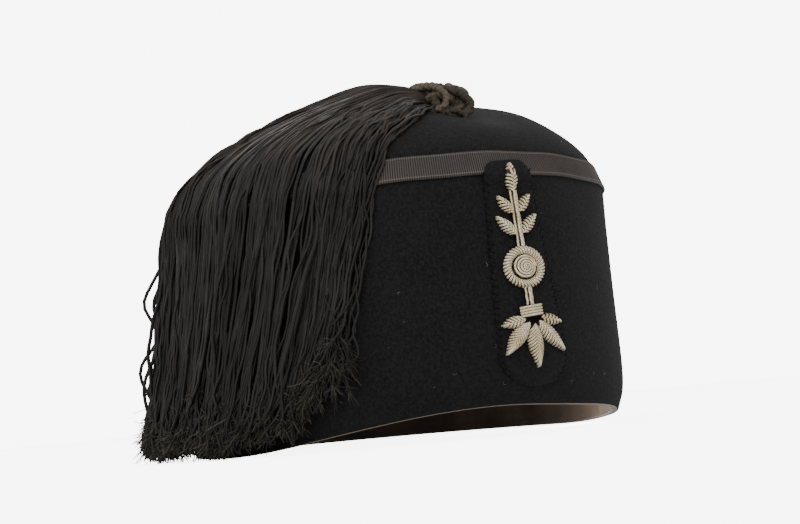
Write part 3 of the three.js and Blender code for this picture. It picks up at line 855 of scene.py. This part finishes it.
# Each leaf's base, size and turn from upright: shares of the patch's length, and degrees.
LEAVES = [
    {"name": "palmette_leaf_1", "up": 0.32, "across": -0.038, "length": 0.098, "width": 0.05, "angle": -104},
    {"name": "palmette_leaf_2", "up": 0.305, "across": -0.022, "length": 0.18, "width": 0.062, "angle": -143},
    {"name": "palmette_leaf_3", "up": 0.295, "across": 0, "length": 0.205, "width": 0.064, "angle": 180},
    {"name": "palmette_leaf_4", "up": 0.305, "across": 0.022, "length": 0.18, "width": 0.062, "angle": 143},
    {"name": "palmette_leaf_5", "up": 0.32, "across": 0.038, "length": 0.098, "width": 0.05, "angle": 104},
    {"name": "sprig_leaf_1", "up": 0.695, "across": -0.016, "length": 0.105, "width": 0.044, "angle": -42},
    {"name": "sprig_leaf_2", "up": 0.695, "across": 0.016, "length": 0.105, "width": 0.044, "angle": 42},
    {"name": "sprig_leaf_3", "up": 0.785, "across": -0.014, "length": 0.09, "width": 0.04, "angle": -38},
    {"name": "sprig_leaf_4", "up": 0.785, "across": 0.014, "length": 0.09, "width": 0.04, "angle": 38},
    {"name": "sprig_bud", "up": 0.872, "across": 0, "length": 0.1, "width": 0.046, "angle": 0},
]


def make_badge(felt, gilt, pad_felt, stitch):
    """The patch, and the embroidery's solids as padding under their wires."""
    make_patch(felt)
    make_patch_stitches(stitch)
    for name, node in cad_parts.items():
        if name.startswith("badge_") and name != "badge_patch":
            # the padding's dark brown colour is painted shade between the wires
            node.material_slots[0].material = pad_felt
    for leaf in LEAVES:
        sizes = [leaf[key] * PATCH_LENGTH for key in ("across", "up", "length", "width")]
        leaf_wires("wires_" + leaf["name"], gilt, *sizes, leaf["angle"])
    tie_foot, tie_top = TIE_MIDDLE - TIE_HALF, TIE_MIDDLE + TIE_HALF * 0.7
    ring_foot, ring_top = RING_MIDDLE - RING_RADIUS, RING_MIDDLE + RING_RADIUS
    bar_wires("wires_tie", gilt, tie_foot, tie_top, TIE_HALF * 1.5, True)
    bar_wires("wires_lower_stem", gilt, TIE_MIDDLE + TIE_HALF * 0.75, ring_foot, STEM_HALF, False)
    bar_wires("wires_upper_stem", gilt, ring_top, STEM_TOP, STEM_HALF, False)
    make_medallion(gilt)


# Tassel


def knot_seat():
    """The knot's foot on the dome, and the way up from there."""
    level, turn = dome_place(KNOT_SIDEWAYS, -KNOT_FORWARD)
    foot = skin(level, turn, KNOT_SEAT)
    upward = skin(level, turn, KNOT_SEAT + 0.001) - foot
    return foot, upward / np.linalg.norm(upward)


def woven_ball(scale, phase):
    """A cord's path that circles a squashed ball three times and swings from end to end five times."""
    leads, bights, swing = 3, 5, math.radians(62)
    weave = KNOT_CORD * 0.3
    body = KNOT_RADIUS - KNOT_CORD / 2 - weave
    foot, upward = knot_seat()
    stand = Vector((0, 0, 1)).rotation_difference(Vector(upward)).to_matrix()
    t = np.linspace(0, 2 * np.pi, 620)
    latitude, longitude = swing * np.cos(bights * t), leads * t + phase
    reach = (body + weave * np.sin(2 * bights * t)) * scale
    flat = reach * np.cos(latitude)
    high = reach * np.sin(latitude) * KNOT_SQUASH
    ball = np.stack([flat * np.cos(longitude), flat * np.sin(longitude), high], axis=-1)
    return ball @ np.array(stand).T + foot + upward * KNOT_MIDDLE


# Loops of slack cord over the knot's front, in millimetres along the axes below.
KNOT_LOOPS = [
    {
        "cord": 3.6,
        "points": [(2, 3.4, 2), (7.4, 3, 3), (10, 0.4, 4), (8, -2.6, 5), (3, -2.6, 7)],
    },
    {
        "cord": 3.4,
        "points": [(2, 5, 4), (7, 4.4, 7), (11.4, 1.6, 7), (12.6, -1.6, 7)]
        + [(10, -4.4, 9), (5, -4.6, 11), (1, -2, 11), (-1, 2, 9)],
    },
    {
        "cord": 2.4,
        "points": [(-9, 3.5, 6), (-5, 5.6, 7), (0, 5.4, 8), (3.6, 2.6, 10)]
        + [(3, -1.6, 12), (-2, -3.4, 12), (-6, -1.6, 10)],
    },
    {
        "cord": 1.9,
        "points": [(0.8, -4.8, 12), (4.8, -7.4, 14), (8.8, -7.6, 13)]
        + [(10.8, -5.4, 12), (7.2, -3.4, 12), (2.6, -4.2, 12)],
    },
    {
        "cord": 1.5,
        "points": [(-3, -5.4, 13), (1, -9.2, 15), (5.6, -10, 16)]
        + [(8.4, -8.4, 15), (4.8, -6.2, 14), (-1, -5.6, 13)],
    },
    {
        "cord": 1.9,
        "points": [(-9, -3.6, 10), (-5.4, -1.2, 12), (-2.4, -3.2, 13), (-3.4, -7.2, 14)]
        + [(-7, -7.8, 13), (-9.6, -5.6, 11), (-8, -3, 10)],
    },
    {
        "cord": 1.3,
        "points": [(-12, 0, 5), (-9, -3, 9), (-4, -7, 13), (-2, -9.6, 15)]
        + [(-5, -10.6, 15), (-9, -8.4, 13), (-13, -7, 10)],
    },
]
KNOT_AXES = np.array(
    [
        [0.90225, -0.42136, -0.09167],  # to the right
        [0.03931, -0.13133, 0.99056],  # upwards
        [-0.42942, -0.89733, -0.10193],  # forwards
    ]
)
LOOPS_SHIFT = (-0.5, -3.6, 2.5)  # from the knot's middle


def through(points, steps):
    """A smooth curve through a few points."""
    points = np.asarray(points, float)
    padded = np.concatenate([2 * points[:1] - points[1:2], points, 2 * points[-1:] - points[-2:-1]])
    place = np.linspace(0, len(points) - 1.0001, steps)
    index = place.astype(int)
    t = (place - index)[:, None]
    a, b, c, d = (padded[index + i] for i in range(4))
    return 0.5 * (2 * b + (c - a) * t + (2 * a - 5 * b + 4 * c - d) * t**2 + (3 * b - a - 3 * c + d) * t**3)


def make_knot(material):
    """The knot's woven cord, a second one under it, and slack loops in front."""
    rope = plied(5, 0.0105, 0.22)
    outer = tubes("knot_cord", [woven_ball(1, 0)], KNOT_CORD / 2 * 1.1, 20, rope)
    finish_piece(outer, material, "knot", "tassel_knot")
    inner = tubes("knot_inner_cord", [woven_ball(0.8, 0.63)], KNOT_CORD / 2 * 1.3, 16, rope)
    finish_piece(inner, material, "knot")
    foot, upward = knot_seat()
    centre = foot + upward * KNOT_MIDDLE
    for number, loop in enumerate(KNOT_LOOPS):
        path = centre + (through(loop["points"], 90) + LOOPS_SHIFT) @ KNOT_AXES / 1000
        size = loop["cord"] / 2000
        piece = tubes(f"knot_loop_{number + 1}", [path], size * 1.08, 16, plied(3, size * 6.5, 0.25))
        finish_piece(piece, material, "knot")


def thread_place(fan, along):
    """Level, turn and share of the fall of threads at a share along them, by their place in the fan."""
    turn = mix(FAN_START, FAN_END, fan)
    facing = np.radians(mix(COLLAR_START, COLLAR_END, fan))
    start_x = KNOT_SIDEWAYS - COLLAR_REACH * np.sin(facing)
    start_y = -KNOT_FORWARD - COLLAR_REACH * np.cos(facing)
    edge = skin(2, turn)
    share = np.clip(along / SHOULDER_ALONG, 0, 1)
    plan_x = mix(start_x, edge[..., 0] - MIDDLE_X, share)
    plan_y = mix(start_y, edge[..., 1] - MIDDLE_Y, share)
    level, dome_turn = dome_place(plan_x, plan_y)
    fall = np.clip((along - SHOULDER_ALONG) / (1 - SHOULDER_ALONG), 0, None)
    fallen = fall * (SHOULDER_RISE + WALL_HEIGHT)
    on_wall = 1 + (fallen - SHOULDER_RISE) / WALL_HEIGHT
    passed = np.where(fallen < SHOULDER_RISE, fallen / SHOULDER_RISE, on_wall)
    hanging = along > SHOULDER_ALONG
    wall_turn = turn + FAN_DRIFT * fall * (1 - smooth(0, 0.6, fan))
    return np.where(hanging, 2 - passed, level), np.where(hanging, wall_turn, dome_turn), fall


def thread_lift(fan, along, fall, depth):
    """How far threads stand off the skin, from depth 0 next to it to depth 1 outside."""
    flare = FRINGE_FLARE * smooth(0, 0.45, fan) * (1 - 0.35 * smooth(0.8, 1, fan))
    inner = RIBBON + 3 * CLEARANCE + 0.0004 + 0.8 * flare * fall**2
    full = mix(FRINGE, FRINGE_HEM, smooth(0.5, 1, along)) * mix(0.55, 1, smooth(0, 0.3, fan))
    gathered = 0.0018 * (1 - smooth(0, 0.25, along)) * smooth(0, 0.25, fan)
    return inner * mix(0.45, 1, smooth(0, 0.15, fan)) + depth * (full + gathered) * 0.92


def waves(count, steps, rate, size):
    """Slow sideways waves along each thread."""
    t = np.linspace(0, 1, steps)[None, :]
    phase = random.random((count, 1)) * 2 * np.pi
    speed = rate * random.uniform(0.7, 1.4, (count, 1))
    return size * random.uniform(0.3, 1, (count, 1)) * np.sin(2 * np.pi * speed * t + phase)


def thread_paths(fan, depth, end, steps, loose=1.0, strayed=0.0, bows=None):
    """Threads that leave the knot, lie over the dome and hang down the wall, a little tangled.

    Fan, depth and end hold one value for each thread, and bows a row of size, low and high.
    """
    count = len(fan)
    share = np.linspace(0, 1, steps)[None, :]
    along = share * end[:, None]
    locks = 30
    lock = (np.floor(fan * locks + 0.35 * np.sin(fan * 37)) + 0.5) / locks
    pull = 0.4 * smooth(0.35, 0.95, along)
    loose = loose * (1 + 0.6 * (1 - smooth(0, 0.22, fan[:, None])))
    sway = waves(count, steps, 1.2, 0.007 * loose)
    sway = sway + waves(count, steps, 5, 0.0024 * loose) + waves(count, steps, 9, 0.0013 * loose)
    placed = mix(fan[:, None], lock[:, None], pull) + sway * smooth(0, 0.2, along)
    wander = smooth(0.84, 1, share) ** 1.5
    placed = placed + (random.normal(0, 0.016, (count, 1)) + waves(count, steps, 7, 0.02)) * wander
    placed = placed + 0.006 * np.sin(along * 9 + lock[:, None] * 50)
    placed = placed + strayed * (1 - smooth(0.2, 0.52, along))
    level, turn, fall = thread_place(placed, along)
    tufted = mix(depth[:, None], 0.5 + (depth[:, None] - 0.5) * 1.1, pull)
    lift = thread_lift(placed, along, fall, tufted)
    heave = waves(count, steps, 2.2, 0.0005) + waves(count, steps, 10, 0.00022)
    lift = lift + heave * loose * smooth(0.05, 0.3, along)
    lift = lift + random.uniform(-0.001, 0.003, (count, 1)) * wander
    if bows is not None:
        size, low, high = (bows[:, i, None] for i in range(3))
        lift = lift + size * np.sin(np.pi * np.clip((share - low) / (high - low), 0, 1)) ** 2
    spots = skin(np.clip(level, 0.0, 3), turn, np.maximum(lift, 0.0004))
    spots[..., 2] -= arch_lift(turn, np.clip(level, 0, 3))
    below = np.clip(-level, 0, 0.05) * WALL_HEIGHT
    spots[..., 2] = np.maximum(spots[..., 2] - below, THREAD_LOWEST + 0.001 * depth[:, None])
    return spots


def hem_end(fan):
    """How far down a thread of the fan ends: the first ones stop short of the rim."""
    return 1 - 0.15 * (1 - smooth(0, 0.13, fan)) - 0.008 + 0.01 * np.sin(fan * 29)


def frayed(ends, ahead, each, longest, splay):
    """Short curly fibres at the cut end of each thread."""
    t = np.linspace(0, 1, FIBRE_STEPS)[None, :, None]
    fibres = []
    for _ in range(each):
        spread_out = random.normal(0, splay, ends.shape)
        length = random.uniform(0.25, 1, (len(ends), 1)) * longest
        curl = random.normal(0, 0.0014, (len(ends), 1, 3))
        path = ends[:, None, :] + t * length[:, None] * (ahead + spread_out)[:, None, :] + curl * t**2
        path[..., 2] = np.maximum(path[..., 2], FIBRE_LOWEST)
        fibres.append(path)
    return np.concatenate(fibres)


def make_threads(material, fray):
    """The tassel's threads in four bundles, and their frayed ends."""
    bundles, each = 4, 235
    tips, aheads = [], []
    for bundle in range(bundles):
        fan = 0.025 + 0.975 * random.random(each) ** 0.95
        depth = random.random(each) ** 0.4
        end = hem_end(fan) - np.abs(random.normal(0, 0.026, each)) - 0.06 * (random.random(each) < 0.08)
        paths = thread_paths(fan, depth, end, THREAD_STEPS)
        radius = THREAD_RADIUS * random.uniform(0.8, 1.12, (each, 1))
        piece = tubes(f"tassel_threads_{bundle + 1}", paths, radius, 4)
        finish_piece(piece, material, "thread", "tassel_fringe")
        ahead = paths[:, -1] - paths[:, -4]
        tips.append(paths[:, -2])
        aheads.append(ahead / (np.linalg.norm(ahead, axis=1, keepdims=True) + 1e-9))
    fibres = frayed(np.concatenate(tips), np.concatenate(aheads), 9, 0.0042, 0.34)
    thin = np.linspace(1, 0.7, FIBRE_STEPS)[None, :] * FRAYED_RADIUS
    finish_piece(tubes("frayed_ends", fibres, thin, 3), fray, "thread")


# Loose threads off the tassel: the place in the fan, how far each bows out, and where along it.
STRAY_THREADS = [
    {"fan": 0.69, "bow": 0.0066, "low": 0.56, "high": 0.74},
    {"fan": 0.675, "bow": 0.003, "low": 0.6, "high": 0.72},
    {"fan": 0.705, "bow": 0.0068, "low": 0.72, "high": 0.89},
    {"fan": 0.66, "bow": 0.0035, "low": 0.76, "high": 0.93},
    {"fan": 0.73, "bow": 0.004, "low": 0.84, "high": 0.99},
    {"fan": 0.58, "bow": 0.004, "low": 0.6, "high": 0.95},
    {"fan": 0.3, "bow": 0.003, "low": 0.55, "high": 0.9},
    {"fan": 0.12, "bow": 0.003, "low": 0.6, "high": 0.95},
]


def make_stray_threads(material, fray):
    """Single threads that stand off the tassel, and curly ones that leave the front of the knot."""
    fan = np.array([stray["fan"] for stray in STRAY_THREADS])
    bows = np.array([[stray[key] for key in ("bow", "low", "high")] for stray in STRAY_THREADS])
    loops = thread_paths(fan, np.full(len(fan), 1.05), hem_end(fan), STRAY_STEPS, 1.2, 0.0, bows)
    count = 26
    fan = random.uniform(0.015, 0.075, count)
    strayed = random.uniform(-0.09, 0.02, (count, 1))
    depth = random.uniform(0, 0.7, count)
    end = hem_end(fan) - random.uniform(0, 0.05, count)
    curly = thread_paths(fan, depth, end, STRAY_STEPS, 1.3, strayed)
    ahead = curly[:, -1] - curly[:, -4]
    ahead = ahead / np.linalg.norm(ahead, axis=1, keepdims=True)
    thin = np.linspace(1, 0.6, FIBRE_STEPS)[None, :] * BRUSHED_RADIUS
    tips = frayed(curly[:, -2], ahead, 26, 0.0065, 0.22)
    finish_piece(tubes("brushed_tips", tips, thin, 3), fray, "thread")
    count = 30
    fan = random.uniform(0.02, 1, count)
    end = hem_end(fan) + random.normal(0, 0.015, count)
    wild = thread_paths(fan, np.full(count, 1.12), end, STRAY_STEPS, 2.6)
    counts = [len(loops), len(curly) + len(wild)]
    radius = np.repeat([BOWED_RADIUS, STRAY_RADIUS], counts)[:, None]
    paths = np.concatenate([loops, curly, wild])
    finish_piece(tubes("stray_threads", paths, radius, 5), material, "thread")


def make_lint(material):
    """Fine pale fibres caught in the felt."""
    count = 46
    level = random.uniform(0.08, 1.0, count)
    level[:10] = random.uniform(2.05, 2.6, 10)
    turn = random.uniform(-110, 60, count)
    t = np.linspace(0, 1, 9)[None, :]
    facing = random.uniform(0, 2 * np.pi, (count, 1)) + t * random.uniform(-4, 4, (count, 1))
    reach = random.uniform(0.0008, 0.0026, (count, 1))
    along = np.cumsum(np.cos(facing), axis=1) * reach / 9
    across = np.cumsum(np.sin(facing), axis=1) * reach / 9
    paths = skin(level[:, None] + across / WALL_HEIGHT, turn[:, None] + along / 0.09 * 57, 0.0004)
    finish_piece(tubes("lint", paths, LINT_RADIUS, 3), material, "felt")


set_camera()
set_studio()
felt = wool_felt()
gilt = gilt_wire()
thread = twisted("black_rayon_tassel_thread", "#1a1918", "#2e2b29", 1.6, 0.5, "#443a33")
fray = twisted("frayed_rayon_fibre", "#2a2823", "#575146", 1.6, 0.75)
cord = twisted("faded_twisted_cotton_cord", "#383129", "#6e6354", 3.2, 0.75)
stitch = twisted("black_sewing_thread", "#0a0a0a", "#1a191a", 1.0, 0.6)
lint = twisted("grey_wool_lint", "#5c5c5e", "#8f8e90", 1.0, 0.9)
make_crown(felt)
make_ribbon()
make_sweatband(band_leather())
make_badge(felt, gilt, padding(), stitch)
make_knot(cord)
make_threads(thread, fray)
make_stray_threads(thread, fray)
make_lint(lint)
